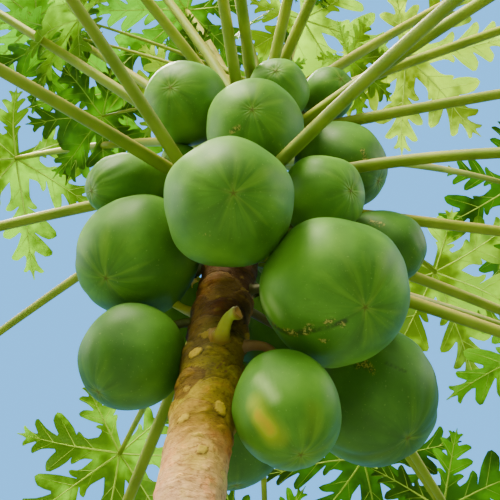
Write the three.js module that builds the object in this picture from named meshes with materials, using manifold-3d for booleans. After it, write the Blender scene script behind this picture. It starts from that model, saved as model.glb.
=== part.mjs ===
// A papaya tree in fruit: one leaning trunk with a flared foot, a cluster of green fruits
// packed round its upper end, and a crown of long-stalked, hand-shaped leaves.
// Millimetres, +Z up. The origin is the middle of the trunk's flat foot at ground level.
import * as THREE from "three";
import { mergeVertices } from "three/addons/utils/BufferGeometryUtils.js";
import Module from "manifold-3d";

const wasm = await Module();
wasm.setup();

// Driving dimensions of the trunk
const TRUNK_HEIGHT = 3080;
const LEAN_AT_GROUND = 0.04; // sideways drift per unit of height
const LEAN_GROWTH = 0.000014; // how the drift grows with height
const FOOT_RADIUS = 60; // at the ground, before the root flare is added
const NECK_HEIGHT = 2500; // level of the lowest fruits
const NECK_RADIUS = 37.5;
const SHOULDER_HEIGHT = 2990; // where the trunk starts to close to its tip
const SHOULDER_RADIUS = 30;
const TIP_RADIUS = 8;
const FLARE = 0.55; // share by which the root flare widens the foot
const FLARE_FADE = 80; // height over which the flare falls to a third
const FLARE_RIBS = 5;
const RIB_DEPTH = 0.1;
const TRUNK_SIDES = 24;
const TRUNK_LEVELS = [
  0, 25, 60, 110, 180, 300, 600, 1000, 1400, 1800, 2150, 2500, 2700, 2850, 2990, 3040, 3080,
];

// Driving dimensions shared by all fruits
const CLEARANCE = 0.3; // between a stalk's foot and the trunk
const FRUIT_SIDES = 10;
const FRUIT_BANDS = 7;
const FRUIT_STALK_RADIUS = 8;
const FRUIT_STALK_RISE = 10; // the stalk's foot lies this far above its fruit's end
const FRUIT_STALK_STEPS = 3;
const FRUIT_STALK_END = 0.8; // where the stalk ends inside the fruit, as a share of the half length
const STUB_STEPS = 2;

// Driving dimensions shared by all leaves
const STALK_FOOT_RADIUS = 12.5;
const STALK_TIP_RADIUS = 6;
const STALK_SIDES = 5;
const STALK_STEPS = 5;
const BLADE_LEAST = 140; // a blade's radius is this and a share of its stalk's length
const BLADE_SHARE = 0.16;
const BLADE_THICKNESS = 5;
const BLADE_TURN = 16; // how far a blade turns away from its stalk's way, at most, both sides together
const BLADE_TWIST = 24; // how far it rolls about its middle lobe, in the same sense
const BLADE_DROOP = 0.2; // fall of a lobe's end, as a share of the blade's radius

// Lobes of one blade: angle from the middle lobe in degrees, and length as a share of the radius
const LOBES = [[-142, 0.62], [-94, 0.84], [-46, 0.96], [0, 1], [46, 0.96], [94, 0.84], [142, 0.62]];
const SINUS = 0.3; // where neighbouring lobes part, as a share of the radius
const REAR_SINUS = 0.06; // the gap behind, where the stalk comes in
// One side of a lobe from its foot to its tip: place along the rib and half width, as shares of its length
const LOBE_SIDE = [[0.58, 0.22], [0.68, 0.1], [0.84, 0.1]];

// Each fruit: way round the stem (degrees), height of its middle, reach from the stem's axis, half width,
// half length, droop of its axis, turn of its axis away from straight out (degrees), pear shape
const FRUITS = [
  [-88, 2502, 158, 86, 91, 43, 5, 0],
  [-26, 2420, 172, 97, 98, 54, -34, 0],
  [26, 2400, 231, 96, 108, 62, -44, 0.06],
  [-18, 2261, 109, 66, 78, 78, -3, 0.04],
  [-167, 2537, 133, 87, 93, 59, 30, 0],
  [-179, 2372, 108, 69, 72, 57, -4, 0],
  [-163, 2675, 174, 49, 74, 38, 8, 0.08],
  [-134, 2813, 146, 67, 69, 32, 22, 0.02],
  [-83, 2724, 122, 73, 75, 34, -10, 0],
  [-69, 2851, 111, 49, 57, 22, -28, 0],
  [-27, 2631, 140, 61, 65, 32, -18, 0.02],
  [-3, 2780, 149, 71, 77, 41, -4, 0.02],
  [-28, 2903, 132, 43, 51, 20, -37, 0.04],
  [5, 2619, 226, 52, 64, 30, 4, 0.1],
  [83, 2366, 132, 84, 92, 71, -20, 0.02],
  [-156, 2745, 110, 26, 36, 30, 10, 0.08],
  [62, 2530, 158, 74, 80, 40, 0, 0.04],
  [122, 2580, 180, 76, 80, 50, -5, 0.04],
  [94, 2720, 140, 64, 66, 30, -10, 0.04],
  [150, 2694, 112, 53, 62, 30, 0, 0.04],
  [45, 2719, 136, 47, 55, 28, 0, 0.04],
];

// Each leaf: way round the stem (degrees), height of its foot, rise at the foot and sag along the stalk
// (degrees), stalk length, pitch of the blade's middle lobe below the horizontal (degrees)
const LEAVES = [
  [-64, 2680, -22, 10, 900, 70],
  [-47, 2800, -8, 15, 900, 70],
  [-11, 2950, 20, 5, 860, 35],
  [-9, 2980, 42, 12, 760, 30],
  [-14, 2866, 0, 8, 900, 55],
  [-19, 2730, -4, 40, 900, 75],
  [36, 2850, 40, 15, 830, 30],
  [7, 2700, 0, 8, 900, 60],
  [22, 2670, -3, 10, 900, 60],
  [4, 2580, -20, 10, 860, 70],
  [40, 2600, 25, 8, 840, 50],
  [55, 2690, -15, 15, 870, 75],
  [73, 2780, 10, 15, 820, 50],
  [88, 2810, 0, 14, 960, 60],
  [117, 2540, -30, 12, 860, 70],
  [107, 2610, 20, 5, 960, 50],
  [-137, 2660, -5, 12, 900, 70],
  [-167, 2790, 38, 5, 870, 40],
  [-122, 2600, 18, 12, 880, 65],
  [-135, 2883, 30, 8, 800, 40],
  [-100, 2800, 28, 14, 850, 50],
  [-96, 2905, -8, 12, 900, 70],
  [-75, 2940, 32, 12, 760, 35],
  [-64, 2980, 22, 12, 880, 55],
  [174, 2850, 55, 8, 650, 20],
  [148, 2970, 78, 8, 540, 20],
  [56, 2880, 30, 10, 800, 40],
  [62, 2630, 8, 12, 840, 45],
  [140, 2790, 4, 12, 880, 60],
  [142, 2890, 42, 10, 850, 40],
  [167, 2760, 0, 12, 900, 65],
  [54, 2980, 80, 6, 550, 20],
  [35, 2930, 62, 8, 730, 30],
  [137, 2930, 58, 8, 650, 30],
  [-118, 2990, 77, 8, 540, 25],
  [-158, 2955, 62, 8, 640, 30],
];

// Each stub where a fruit has come away: way round the stem and rise (degrees), height of its foot, length,
// radius at its foot and at its end
const STUBS = [
  [-76, 42, 2376, 42, 12, 8.5],
  [168, 16, 2460, 40, 7, 6],
];

const radians = THREE.MathUtils.degToRad;
const mix = THREE.MathUtils.lerp;

// Unit vector that points the given way round the stem and rises by the given angle.
function outward(way, rise = 0) {
  const level = Math.cos(radians(rise));
  return new THREE.Vector3(
    level * Math.cos(radians(way)),
    level * Math.sin(radians(way)),
    Math.sin(radians(rise)),
  );
}

// Middle of the trunk at a height: it leans to +X, more and more with height.
function trunkMiddle(z) {
  return new THREE.Vector3(LEAN_AT_GROUND * z + LEAN_GROWTH * z * z, 0, z);
}

// Radius of the trunk at a height, without the ribs of the root flare.
function trunkRadius(z) {
  if (z < NECK_HEIGHT) {
    return mix(FOOT_RADIUS, NECK_RADIUS, z / NECK_HEIGHT) * (1 + FLARE * Math.exp(-z / FLARE_FADE));
  }
  if (z < SHOULDER_HEIGHT) {
    return mix(NECK_RADIUS, SHOULDER_RADIUS, (z - NECK_HEIGHT) / (SHOULDER_HEIGHT - NECK_HEIGHT));
  }
  const share = (z - SHOULDER_HEIGHT) / (TRUNK_HEIGHT - SHOULDER_HEIGHT);
  return mix(SHOULDER_RADIUS, TIP_RADIUS, share * share);
}

// Direction square to the trunk's own line at a height, the given way round.
function squareOut(way, z) {
  const along = new THREE.Vector3(LEAN_AT_GROUND + 2 * LEAN_GROWTH * z, 0, 1).normalize();
  const out = outward(way);
  return out.addScaledVector(along, -out.dot(along)).normalize();
}

// Middle of a stalk's foot that lies flat against the trunk, just clear of it.
function footOn(square, z, footRadius) {
  const reach = trunkRadius(z - footRadius) * Math.hypot(square.x, square.y) + CLEARANCE;
  return trunkMiddle(z).addScaledVector(square, reach);
}

// Repeatable number from -0.5 to 0.5 for the given item and use.
function vary(item, use) {
  const wild = Math.sin(item * 12.9898 + use * 78.233) * 43758.5453;
  return wild - Math.floor(wild) - 0.5;
}

// Geometry left with its positions only, its shared points merged, and each point moved by a rule.
function reshaped(geometry, rule) {
  geometry.deleteAttribute("normal");
  geometry.deleteAttribute("uv");
  const merged = mergeVertices(geometry, 1e-3);
  const places = merged.attributes.position;
  const point = new THREE.Vector3();
  for (let i = 0; i < places.count; i += 1) {
    point.copy(rule(point.fromBufferAttribute(places, i).clone()));
    places.setXYZ(i, point.x, point.y, point.z);
  }
  return merged;
}

// Union of overlapping closed geometries as one.
function joined(geometries) {
  const bodies = geometries.map((geometry) => new wasm.Manifold(new wasm.Mesh({
    numProp: 3,
    vertProperties: new Float32Array(geometry.attributes.position.array),
    triVerts: new Uint32Array(geometry.index.array),
  })));
  const mesh = bodies.reduce((all, one) => all.add(one)).getMesh();
  const geometry = new THREE.BufferGeometry();
  geometry.setAttribute("position", new THREE.BufferAttribute(new Float32Array(mesh.vertProperties), 3));
  geometry.setIndex(new THREE.BufferAttribute(new Uint32Array(mesh.triVerts), 1));
  return geometry;
}

// The trunk is turned about +Y, stood up, ribbed at its foot and then leaned.
function trunk() {
  const profile = TRUNK_LEVELS.map((z) => new THREE.Vector2(trunkRadius(z), z));
  const closed = [new THREE.Vector2(0, 0), ...profile, new THREE.Vector2(0, TRUNK_HEIGHT)];
  const lathe = new THREE.LatheGeometry(closed, TRUNK_SIDES).rotateX(Math.PI / 2);
  return reshaped(lathe, (point) => {
    const way = Math.atan2(point.y, point.x);
    const swell = 1 + RIB_DEPTH * Math.exp(-point.z / FLARE_FADE) * Math.cos(FLARE_RIBS * way);
    return new THREE.Vector3(point.x * swell, point.y * swell, 0).add(trunkMiddle(point.z));
  });
}

// Rotation that turns +Y to the given direction.
function turnTo(direction) {
  return new THREE.Quaternion().setFromUnitVectors(new THREE.Vector3(0, 1, 0), direction);
}

// A fruit and the short stalk it hangs from.
function fruit([way, height, reach, halfWidth, halfLength, droop, turn, pear]) {
  const axis = outward(way + turn, -droop);
  const middle = trunkMiddle(height).addScaledVector(outward(way), reach);
  const profile = [];
  for (let band = 0; band <= FRUIT_BANDS; band += 1) {
    const along = -Math.cos((Math.PI * band) / FRUIT_BANDS);
    const across = Math.sin((Math.PI * band) / FRUIT_BANDS) * (1 + pear * along);
    profile.push(new THREE.Vector2(halfWidth * across, halfLength * along));
  }
  profile[0].x = 0;
  profile[FRUIT_BANDS].x = 0;
  const flesh = new THREE.LatheGeometry(profile, FRUIT_SIDES).applyQuaternion(turnTo(axis));
  flesh.translate(middle.x, middle.y, middle.z);

  const stemEnd = middle.clone().addScaledVector(axis, -FRUIT_STALK_END * halfLength);
  const footHeight = stemEnd.z + FRUIT_STALK_RISE;
  const away = stemEnd.clone().sub(trunkMiddle(footHeight));
  const square = squareOut(THREE.MathUtils.radToDeg(Math.atan2(away.y, away.x)), footHeight);
  const foot = footOn(square, footHeight, FRUIT_STALK_RADIUS);
  const bend = foot.clone().addScaledVector(square, FRUIT_STALK_RADIUS);
  const curve = new THREE.QuadraticBezierCurve3(foot, bend, stemEnd);
  return joined([
    reshaped(flesh, (point) => point),
    stalk(curve, FRUIT_STALK_RADIUS, FRUIT_STALK_RADIUS, FRUIT_STALK_STEPS),
  ]);
}

// A round stalk along a curve, from one radius at its foot to another at its end.
function stalk(curve, footRadius, tipRadius, steps) {
  const section = new THREE.Shape(Array.from({ length: STALK_SIDES }, (_, side) => {
    const angle = (2 * Math.PI * side) / STALK_SIDES;
    return new THREE.Vector2(footRadius * Math.cos(angle), footRadius * Math.sin(angle));
  }));
  const tube = new THREE.ExtrudeGeometry(section, { steps, bevelEnabled: false, extrudePath: curve });
  const middles = curve.getSpacedPoints(steps);
  return reshaped(tube, (point) => {
    const gaps = middles.map((middle) => middle.distanceTo(point));
    const nearest = gaps.indexOf(Math.min(...gaps));
    return middles[nearest].clone().lerp(point, mix(1, tipRadius / footRadius, nearest / steps));
  });
}

// Line of a leaf's stalk: square out of the trunk, then the given way, sagging more and more.
function leafLine([way, height, rise, sag, length]) {
  const square = squareOut(way, height);
  const foot = footOn(square, height, STALK_FOOT_RADIUS);
  const line = [foot, foot.clone().addScaledVector(square, STALK_FOOT_RADIUS)];
  for (let step = 0; step < STALK_STEPS; step += 1) {
    const bend = (sag * (step + 0.5)) / STALK_STEPS;
    line.push(line.at(-1).clone().addScaledVector(outward(way, rise - bend), length / STALK_STEPS));
  }
  return new THREE.CatmullRomCurve3(line);
}

// Outline of a blade in its own plane, with +X along its middle lobe and the hub at the origin.
function bladeOutline(radius) {
  const spot = (distance, across, angle) => (
    new THREE.Vector2(distance, across).rotateAround(new THREE.Vector2(), radians(angle))
  );
  const outline = [spot(REAR_SINUS * radius, 0, 180)];
  LOBES.forEach(([angle, share], i) => {
    const length = share * radius;
    const edge = (side) => LOBE_SIDE.map(
      ([along, across]) => spot(along * length, side * across * length, angle),
    );
    outline.push(...edge(-1), spot(length, 0, angle), ...edge(1).reverse());
    if (i + 1 < LOBES.length) outline.push(spot(SINUS * radius, 0, (angle + LOBES[i + 1][0]) / 2));
  });
  return outline;
}

// A hand-shaped blade: a thin plate of seven lobes round its hub, drooping towards their ends.
function blade(hub, way, radius, pitch, twist) {
  const forward = outward(way, -pitch);
  const side = outward(way + 90).applyAxisAngle(forward, radians(twist));
  const up = new THREE.Vector3().crossVectors(forward, side);
  const outline = new THREE.Shape(bladeOutline(radius));
  const plate = new THREE.ExtrudeGeometry(outline, { depth: BLADE_THICKNESS, bevelEnabled: false });
  return reshaped(plate, ({ x, y, z }) => {
    const rise = z - BLADE_THICKNESS / 2 - (BLADE_DROOP * (x * x + y * y)) / radius;
    return hub.clone().addScaledVector(forward, x).addScaledVector(side, y).addScaledVector(up, rise);
  });
}

function leaf(row, number) {
  const [way, , , , length, pitch] = row;
  const line = leafLine(row);
  const hub = line.getPoint(1);
  const turned = way + BLADE_TURN * vary(number, 1);
  return joined([
    stalk(line, STALK_FOOT_RADIUS, STALK_TIP_RADIUS, STALK_STEPS),
    blade(hub, turned, BLADE_LEAST + BLADE_SHARE * length, pitch, BLADE_TWIST * vary(number, 2)),
  ]);
}

// What is left of a fruit's stalk.
function stub([way, rise, height, length, footRadius, tipRadius]) {
  const square = squareOut(way, height);
  const foot = footOn(square, height, footRadius);
  const bend = foot.clone().addScaledVector(square, footRadius);
  const end = foot.clone().addScaledVector(outward(way, rise), length);
  return stalk(new THREE.QuadraticBezierCurve3(foot, bend, end), footRadius, tipRadius, STUB_STEPS);
}

const bark = new THREE.MeshStandardMaterial({ color: 0xa5825a, roughness: 0.85, metalness: 0 });
const rind = new THREE.MeshStandardMaterial({ color: 0x4f8a1e, roughness: 0.45, metalness: 0 });
const green = new THREE.MeshStandardMaterial({ color: 0x4c8a22, roughness: 0.6, metalness: 0 });
const stem = new THREE.MeshStandardMaterial({ color: 0x9aa03c, roughness: 0.6, metalness: 0 });

const tree = new THREE.Group();

function grow(name, geometry, material) {
  const mesh = new THREE.Mesh(geometry, material);
  mesh.name = name;
  tree.add(mesh);
}

const numbered = (kind, i) => `${kind}_${String(i + 1).padStart(2, "0")}`;
grow("trunk", trunk(), bark);
FRUITS.forEach((row, i) => grow(numbered("fruit", i), fruit(row), rind));
LEAVES.forEach((row, i) => grow(numbered("leaf", i), leaf(row, i), green));
STUBS.forEach((row, i) => grow(numbered("stub", i), stub(row), stem));

export default tree;
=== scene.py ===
"""A papaya tree in fruit: the looks of its trunk, fruits, stubs, leaves and flowers, built around the solids.

All sizes below are in millimetres and degrees, in the frame of the solids: +Z up, the origin under the
trunk. add_piece() turns them to metres.
"""

import math

import bpy
import numpy as np
from mathutils import Matrix, Vector, noise
from mathutils.geometry import delaunay_2d_cdt


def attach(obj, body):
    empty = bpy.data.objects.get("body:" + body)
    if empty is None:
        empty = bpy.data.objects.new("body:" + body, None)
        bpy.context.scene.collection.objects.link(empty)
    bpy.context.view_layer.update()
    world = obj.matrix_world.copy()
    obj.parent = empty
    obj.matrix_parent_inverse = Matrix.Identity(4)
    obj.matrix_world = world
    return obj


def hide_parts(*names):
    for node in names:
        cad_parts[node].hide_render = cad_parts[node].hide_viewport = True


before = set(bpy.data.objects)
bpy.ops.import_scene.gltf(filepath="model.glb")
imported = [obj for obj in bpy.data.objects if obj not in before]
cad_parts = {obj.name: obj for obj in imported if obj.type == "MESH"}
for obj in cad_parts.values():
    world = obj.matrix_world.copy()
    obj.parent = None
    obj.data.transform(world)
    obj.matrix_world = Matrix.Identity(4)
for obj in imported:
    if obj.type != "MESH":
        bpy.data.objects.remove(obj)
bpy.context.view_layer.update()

NOISE_SEED = 7
noise.seed_set(NOISE_SEED)  # unset, the offsets of noise_vector() come from the clock

MM = 0.001  # one millimetre in Blender's metres

# Camera: where it stands, how far it looks up, its focal length and the width of its sensor
CAMERA_PLACE = (221.5, -988.9, 1486.3)
CAMERA_RISE = 48
CAMERA_LENS, CAMERA_SENSOR = 72, 36

# Trunk, as in the solids
TRUNK_HEIGHT = 3080
LEAN_AT_GROUND, LEAN_GROWTH = 0.04, 0.000014
FOOT_RADIUS, NECK_RADIUS, SHOULDER_RADIUS, TIP_RADIUS = 60, 37.5, 30, 8
NECK_HEIGHT, SHOULDER_HEIGHT = 2500, 2990
FLARE, FLARE_FADE, FLARE_RIBS, RIB_DEPTH = 0.55, 80, 5, 0.1
CLEARANCE = 0.3  # between a stalk's foot and the trunk

# Rings of the trunk's mesh: close together where the bark shows best
TRUNK_SIDES = 120
FINE_FROM, FINE_TO = 1980, 2960
FINE_STEP, COARSE_STEP = 2.6, 6.5

# Bark: leaf scars on a spiral, warts and nodules everywhere, and what the photo shows on the near side
SPIRAL_TURN = 137.5  # from one leaf scar to the next one up
SCAR_FROM, SCAR_TO = 140, 3000
SCAR_STEP_LOW, SCAR_STEP_HIGH = 19, 10  # rise from one leaf scar to the next, at the foot and in the crown
SCAR_WIDTH, SCAR_RISE = 27, 15  # half width of a leaf scar, and height of its arch
SCAR_DRIFT = 4.5  # how far the outlines of scars wander
CUSHION_RISE, SHIELD_RISE, RIM_RISE, GROOVE_DEPTH = 4.2, 2.3, 0.9, 1.8  # of a leaf scar's forms
WARTS, NODULES, LIP_COUNT = 420, 150, 70
# Way, height, half width and half height of the scars of fruits, and way, height and half width of lips
FRUIT_SCARS = [(-54, 2260, 8.5, 9.5), (-118, 2349, 9, 7), (-115, 2242, 6.5, 5), (-75, 2193, 6, 5)]
LIPS = [(-105, 2223, 7), (-83, 2217, 6), (-100, 2158, 5), (-66, 2172, 5)]
PITS_WAY, PITS_HEIGHT, PITS = -63, 2326, 9

# Fruits: way round the trunk, height of the middle, reach, half width, half length, droop of the axis,
# turn of the axis away from straight out, pear shape. Other lists name them by number, from one
FRUITS = [
    (-88, 2502, 158, 86, 91, 43, 5, 0),
    (-26, 2420, 172, 97, 98, 54, -34, 0),
    (26, 2400, 231, 96, 108, 62, -44, 0.06),
    (-18, 2261, 109, 66, 78, 78, -3, 0.04),
    (-167, 2537, 133, 87, 93, 59, 30, 0),
    (-179, 2372, 108, 69, 72, 57, -4, 0),
    (-163, 2675, 174, 49, 74, 38, 8, 0.08),
    (-134, 2813, 146, 67, 69, 32, 22, 0.02),
    (-83, 2724, 122, 73, 75, 34, -10, 0),
    (-69, 2851, 111, 49, 57, 22, -28, 0),
    (-27, 2631, 140, 61, 65, 32, -18, 0.02),
    (-3, 2780, 149, 71, 77, 41, -4, 0.02),
    (-28, 2903, 132, 43, 51, 20, -37, 0.04),
    (5, 2619, 226, 52, 64, 30, 4, 0.1),
    (83, 2366, 132, 84, 92, 71, -20, 0.02),
    (-156, 2745, 110, 26, 36, 30, 10, 0.08),
    (62, 2530, 158, 74, 80, 40, 0, 0.04),
    (122, 2580, 180, 76, 80, 50, -5, 0.04),
    (94, 2720, 140, 64, 66, 30, -10, 0.04),
    (150, 2694, 112, 53, 62, 30, 0, 0.04),
    (45, 2719, 136, 47, 55, 28, 0, 0.04),
]
FRUIT_STALK_RADIUS, FRUIT_STALK_RISE, FRUIT_STALK_END = 8, 10, 0.8
HIGH_STALKS = {4: 52}  # how much higher than the others' the stalks of some fruits leave the trunk
FRUIT_STEP = 4.6  # between the points of a fruit's skin
CREASES = 5
CREASE_DEPTH, CREASE_CHANGE = 0.018, 0.008  # in shares of a fruit's width
FRUIT_LUMPS = 0.045  # how far a fruit strays from round, in the same shares
FOLDS = {2: 1.3, 3: 3, 4: 2.6, 5: 1.8, 7: 2.4, 12: 2, 14: 1.8}  # how much deeper the creases of some are
# Painted shade: fruits painted darker all over, and by how much, for the shade that fruits and leaves cast on
# them
PAINTED_FRUIT_SHADE = {3: 0.8, 6: 0.8, 12: 0.8, 13: 0.5, 14: 1, 15: 0.8, 17: 0.4, 19: 0.5}  # how much darker some are

# Marks on fruits: fruit number, kind, way and rise of the mark's two ends as seen from the fruit's middle,
# half width and strength
FRUIT_MARKS = [
    (1, "scuff", (-151, -66), (-141, -72), 3, 0.4),
    (2, "line", (170, -27), (179, -48), 4.5, 1),
    (2, "line", (179, -48), (-158, -63), 4.5, 1),
    (2, "line", (-158, -63), (-85, -67), 4, 0.9),
    (2, "scuff", (170, -27), (175, -35), 4.5, 1),
    (2, "scuff", (-179, -47), (-174, -55), 4.5, 1),
    (2, "scuff", (-162, -62), (-146, -62), 4, 1),
    (2, "scuff", (-120, -66), (-108, -65), 3.5, 1),
    (2, "scuff", (-159, -75), (-151, -79), 3, 0.9),
    (2, "scuff", (-92, -69), (-86, -71), 3, 0.8),
    # painted sheen: pale patches painted on as highlights
    (2, "painted_sheen", (-176, -11), (-178, -23), 9, 0.5),
    (2, "painted_sheen", (-163, -25), (-164, -37), 8, 0.4),
    (3, "line", (-104, -19), (-91, -25), 2, 0.8),
    (3, "scuff", (-104, -19), (-97, -20), 4, 1),
    (3, "scuff", (-96, -18), (-91, -25), 4, 1),
    (3, "line", (-80, -18), (-63, -22), 3, 0.6),
    (4, "ripe", (-129, -41), (-121, -57), 15, 1),
    (4, "ripe", (-129, -30), (-117, -61), 20, 0.42),
    (4, "ripe", (-62, -38), (-52, -52), 20, 0.12),
    (4, "painted_sheen", (-121, -2), (-106, -28), 11, 0.8),
    (9, "scuff", (-133, -51), (-118, -51), 5, 0.9),
    (12, "scuff", (-65, -30), (-55, -42), 6, 0.8),
    (14, "scuff", (-119, -1), (-101, -12), 7, 0.9),
]
MARK_KINDS = ("ripe", "scuff", "painted_sheen", "line")

# Leaves: way, height of the foot, rise at the foot and sag along the stalk, stalk length, pitch of the blade
LEAVES = [
    (-64, 2680, -22, 10, 900, 70),
    (-47, 2800, -8, 15, 900, 70),
    (-11, 2950, 20, 5, 860, 35),
    (-9, 2980, 42, 12, 760, 30),
    (-14, 2866, 0, 8, 900, 55),
    (-19, 2730, -4, 40, 900, 75),
    (36, 2850, 40, 15, 830, 30),
    (7, 2700, 0, 8, 900, 60),
    (22, 2670, -3, 10, 900, 60),
    (4, 2580, -20, 10, 860, 70),
    (40, 2600, 25, 8, 840, 50),
    (55, 2690, -15, 15, 870, 75),
    (73, 2780, 10, 15, 820, 50),
    (88, 2810, 0, 14, 960, 60),
    (117, 2540, -30, 12, 860, 70),
    (107, 2610, 20, 5, 960, 50),
    (-137, 2660, -5, 12, 900, 70),
    (-167, 2790, 38, 5, 870, 40),
    (-122, 2600, 18, 12, 880, 65),
    (-135, 2883, 30, 8, 800, 40),
    (-100, 2800, 28, 14, 850, 50),
    (-96, 2905, -8, 12, 900, 70),
    (-75, 2940, 32, 12, 760, 35),
    (-64, 2980, 22, 12, 880, 55),
    (174, 2850, 55, 8, 650, 20),
    (148, 2970, 78, 8, 540, 20),
    (56, 2880, 30, 10, 800, 40),
    (62, 2630, 8, 12, 840, 45),
    (140, 2790, 4, 12, 880, 60),
    (142, 2890, 42, 10, 850, 40),
    (167, 2760, 0, 12, 900, 65),
    (54, 2980, 80, 6, 550, 20),
    (35, 2930, 62, 8, 730, 30),
    (137, 2930, 58, 8, 650, 30),
    (-118, 2990, 77, 8, 540, 25),
    (-158, 2955, 62, 8, 640, 30),
]

# Small young leaves round the tip of the trunk, in the same terms
YOUNG_LEAVES = [
    (20, 3020, 60, 12, 260, 40),
    (158, 3035, 66, 14, 220, 45),
    (-65, 3045, 72, 12, 190, 50),
    (85, 3055, 76, 10, 150, 60),
    (-140, 3062, 80, 8, 120, 66),
    (-10, 3068, 84, 6, 95, 74),
    (176, 3018, 38, 10, 430, 35),
    (150, 3022, 34, 12, 400, 40),
    (-166, 3028, 22, 14, 330, 48),
    (136, 3026, 58, 12, 340, 40),
]

# Grown and young leaves: radius of the stalk's foot and tip, rings of its mesh, and the blade's radius, as a
# least radius and a share of the stalk's length
GROWN = (12.5, 6, 44, 140, 0.16)
YOUNG = (5, 2.5, 24, 35, 0.34)
STALK_STEPS, STALK_SIDES = 5, 18
BLADE_TURN, BLADE_TWIST, BLADE_DROOP = 16, 24, 0.2

# One blade: its lobes, as angle from the middle lobe and length as a share of the radius, and the lobules on
# each side of a lobe, as place along its rib and half width in shares of the lobe's length
LOBES = [(-142, 0.62), (-94, 0.84), (-46, 0.96), (0, 1), (46, 0.96), (94, 0.84), (142, 0.62)]
SINUS, REAR_SINUS = 0.22, 0.06
LOBULES = [(0.43, 0.15), (0.655, 0.255), (0.82, 0.175), (0.925, 0.09)]
# The edge of a lobule, from its tip and in shares of its half width: its back, tip and front, and the notch
LOBULE_EDGE = [(-0.55, 0.62), (0, 1), (0.1, 0.68), (-0.15, 0.24)]
EDGE_POINTS = 84  # points of one lobe's outline
VEIN_LEAN = 0.14  # how far back along the rib a lobule's vein starts, as a share of the lobe's length
BLADE_THICKNESS = 0.8
VEIN_RADIUS = 2.7  # of the foot of a rib, for a blade of full size
MESH_STEP = 12  # between the points inside a blade
BLADE_WARP = 0.12  # how far a lobe strays in the blade's plane, as a share of the radius
BLADE_WAVE = 60  # height of the slow waves of a blade of full size
FULL_RADIUS = 280

# What is left of two fruit stalks: way, rise, height of the foot, length, radius at the foot and at the end,
# how far the end turns and rises from the rest, and thickness of the thinnest part
STUBS = [(-76, 42, 2376, 42, 12, 8.5, 40, -38, 0.58), (168, 16, 2460, 40, 7, 6, 12, 34, 0.84)]
STUB_ROOT = 7  # how deep a stub starts in the bark
STUB_SIDES, STUB_RINGS = 24, 38
CUP = [(0.8, 0.4), (0.62, 3.5), (0.15, 6)]  # rings of its broken end: share of the lip's size, and depth

# Flowers, all but one between the feet of the upper leaves: way, height, reach of the middle, droop, size
FLOWERS = [
    (-122, 2925, 66, 5, 17),
    (-108, 2900, 78, -20, 14),
    (-146, 2905, 62, 20, 13),
    (15, 2900, 66, 10, 15),
    (75, 2935, 64, 0, 14),
    (118, 2905, 70, 15, 16),
    (165, 2950, 60, -10, 12),
    (152, 2542, 54, 5, 15),
]
PETALS = 5
PETAL_THICKNESS = 0.7

# Leaf shades: colour of the upper side, and of the light that comes through. Leaves get them at random. The
# darker and brighter ones stand partly for the leaves' own tones and partly for painted shade and painted
# light
LEAF_SHADES = [
    ((0.045, 0.130, 0.003), (0.25, 0.50, 0.004)),
    ((0.075, 0.190, 0.004), (0.46, 0.74, 0.005)),
    ((0.125, 0.260, 0.005), (0.68, 0.86, 0.005)),
    ((0.035, 0.100, 0.003), (0.14, 0.32, 0.003)),
    ((0.100, 0.220, 0.005), (0.56, 0.80, 0.005)),
]

# Stalks: darkest and palest colour, and the colour of the blush
STALK_PAINTS = {
    # petioles: the blush on the upper side is partly their own pinkish tinge and partly painted light from
    # above
    "petiole": ((0.115, 0.18, 0.005), (0.20, 0.26, 0.009), (0.48, 0.33, 0.08)),
    # fruit stalks: partly their own dark green-brown, partly painted shade under the fruits
    "fruit_stalk": ((0.045, 0.07, 0.008), (0.095, 0.08, 0.016), (0.16, 0.075, 0.02)),
    "stub_stem": ((0.20, 0.27, 0.010), (0.34, 0.36, 0.020), (0.18, 0.06, 0.005)),
    # second stub: its own yellow-green, painted brighter as painted sunlight
    "yellow_lit_stem": ((0.42, 0.46, 0.02), (0.60, 0.60, 0.05), (0.4, 0.25, 0.03)),
    "stub_end": ((0.30, 0.12, 0.02), (0.50, 0.28, 0.08), (0.3, 0.2, 0.1)),
    "vein": ((0.22, 0.36, 0.020), (0.33, 0.46, 0.035), (0.5, 0.4, 0.2)),
}

# Lamps, in metres: place, height of the spot on the tree that they aim at, width, power and colour
LAMPS = {
    "key": ((-0.9, -1.7, 5.0), 2.6, 1.6, 570, (1, 0.96, 0.74)),
    "top": ((-1.6, 1.8, 9.0), 2.8, 1.4, 2400, (1, 0.95, 0.78)),
    "front": ((0.2, -3.3, 3.4), 2.5, 2.6, 95, (0.88, 1, 0.70)),
    "right": ((3.2, -0.3, 4.2), 2.6, 2.2, 170, (0.97, 1, 0.82)),
    "left": ((-2.9, 0.1, 3.8), 2.6, 2.2, 130, (0.97, 1, 0.82)),
}
AIM_X = 0.2  # metres
SKY_AHEAD, SKY_BEHIND = (0.09, 0.17, 0.21), (0.22, 0.84, 1.75)
FLOOR_REACH = 15  # metres


def mix(a, b, share):
    return a + (b - a) * share


def smooth(value, low, high):
    """Smooth step from 0 at low to 1 at high."""
    share = np.clip((value - low) / (high - low), 0, 1)
    return share * share * (3 - 2 * share)


def bell(value, width):
    """1 where the value is 0, and fading to both sides of it."""
    return np.exp(-(value / width)**2)


def unit(vector):
    return np.asarray(vector) / np.linalg.norm(vector)


def ring_ways(sides):
    """Angle of each point of a ring."""
    return 2 * np.pi * np.arange(sides) / sides


def node_name(kind, number):
    """Name of a node of the solids, which count from one."""
    return f"{kind}_{number + 1:02d}"


def vary(item, use):
    """Repeatable number from -0.5 to 0.5 for the given item and use, as in the solids."""
    wild = math.sin(item * 12.9898 + use * 78.233) * 43758.5453
    return wild - math.floor(wild) - 0.5


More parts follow.
